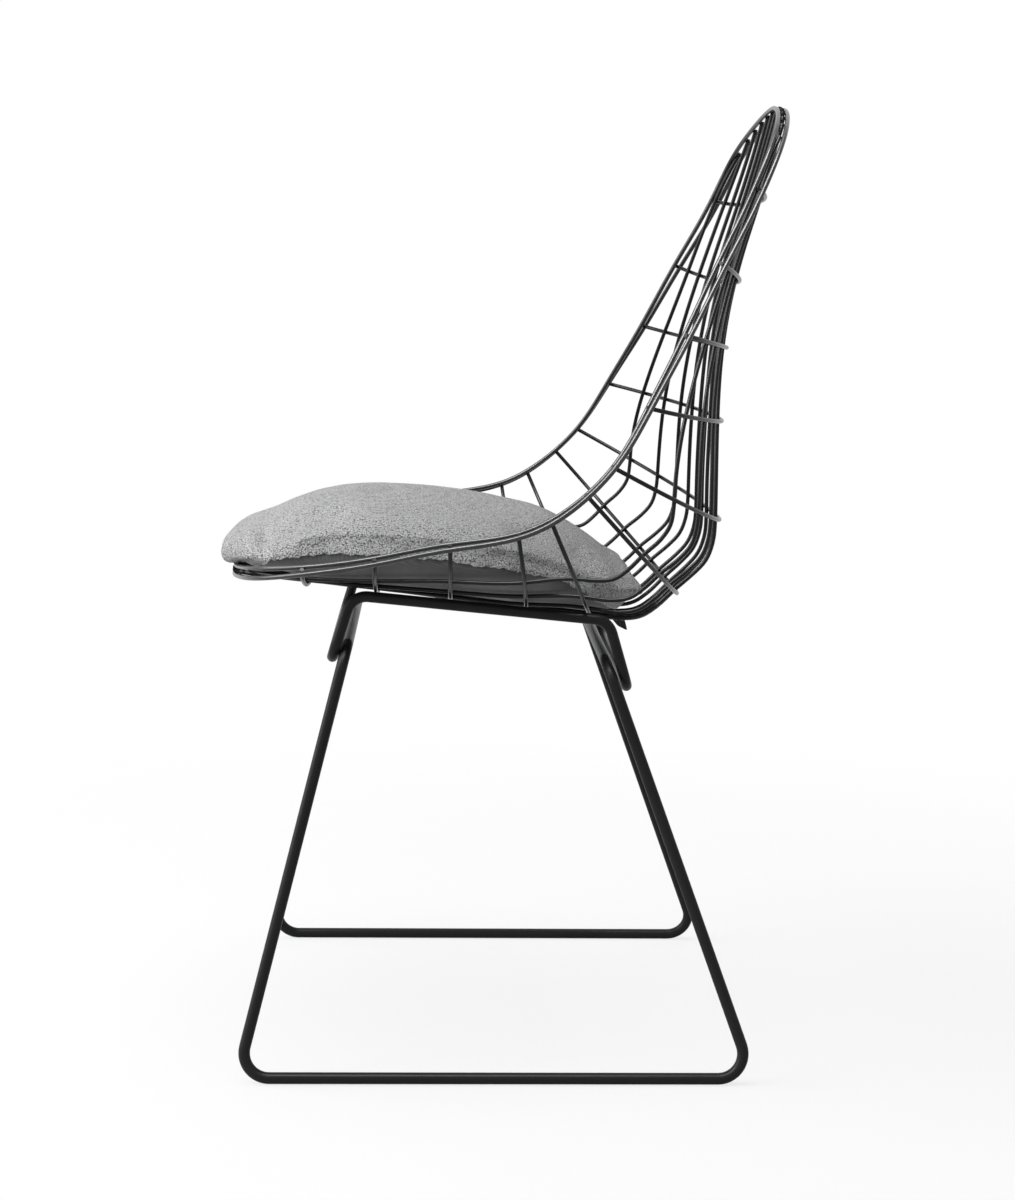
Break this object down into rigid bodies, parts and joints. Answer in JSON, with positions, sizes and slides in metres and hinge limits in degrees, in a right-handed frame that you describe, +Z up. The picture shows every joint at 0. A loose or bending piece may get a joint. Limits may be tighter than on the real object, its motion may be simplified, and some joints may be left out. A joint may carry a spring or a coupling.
{
  "type": "wire mesh chair",
  "caption": "Chair with a bucket shell of welded steel wires between a double rim, on a sled base of bent steel rod, with a loose padded seat cushion.",
  "frame": {"origin": "on the floor, under the middle of the whole chair", "axes": "+X to the sitter's left hand, +Y from the front edge to the back, +Z up; the chair is the same on both sides of the YZ plane but for the strap"},
  "size_m": [0.5308, 0.5, 0.826],
  "materials": {
    "frame_steel": "satin black powder coat with a fine texture",
    "pad_wool": "light grey melange wool, felted",
    "pad_underside": "smooth dark grey lining cloth"
  },
  "bodies": {
    "frame": {"rim_wire_inner": "frame_steel", "rim_wire_outer": "frame_steel", "cross_wire_01": "frame_steel", "cross_wire_02": "frame_steel", "cross_wire_03": "frame_steel", "cross_wire_04": "frame_steel", "cross_wire_05": "frame_steel", "cross_wire_06": "frame_steel", "cross_wire_07": "frame_steel", "cross_wire_08": "frame_steel", "cross_wire_09": "frame_steel", "cross_wire_10": "frame_steel", "cross_wire_11": "frame_steel", "lengthwise_wire_01": "frame_steel", "lengthwise_wire_02": "frame_steel", "lengthwise_wire_03": "frame_steel", "lengthwise_wire_04": "frame_steel", "lengthwise_wire_05": "frame_steel", "lengthwise_wire_06": "frame_steel", "lengthwise_wire_07": "frame_steel", "lengthwise_wire_08": "frame_steel", "lengthwise_wire_09": "frame_steel", "lengthwise_wire_10": "frame_steel", "lengthwise_wire_11": "frame_steel", "lengthwise_wire_12": "frame_steel", "lengthwise_wire_13": "frame_steel", "leg_frame": "frame_steel", "seat_frame": "frame_steel"},
    "pad": {"seat_pad": "pad_wool", "pad_strap": "pad_underside"}
  },
  "joints": [
    {"name": "pad_lift", "type": "slide", "parent": "frame", "child": "pad", "axis": [0, 0, 1], "range_m": [0, 0.15]}
  ]
}
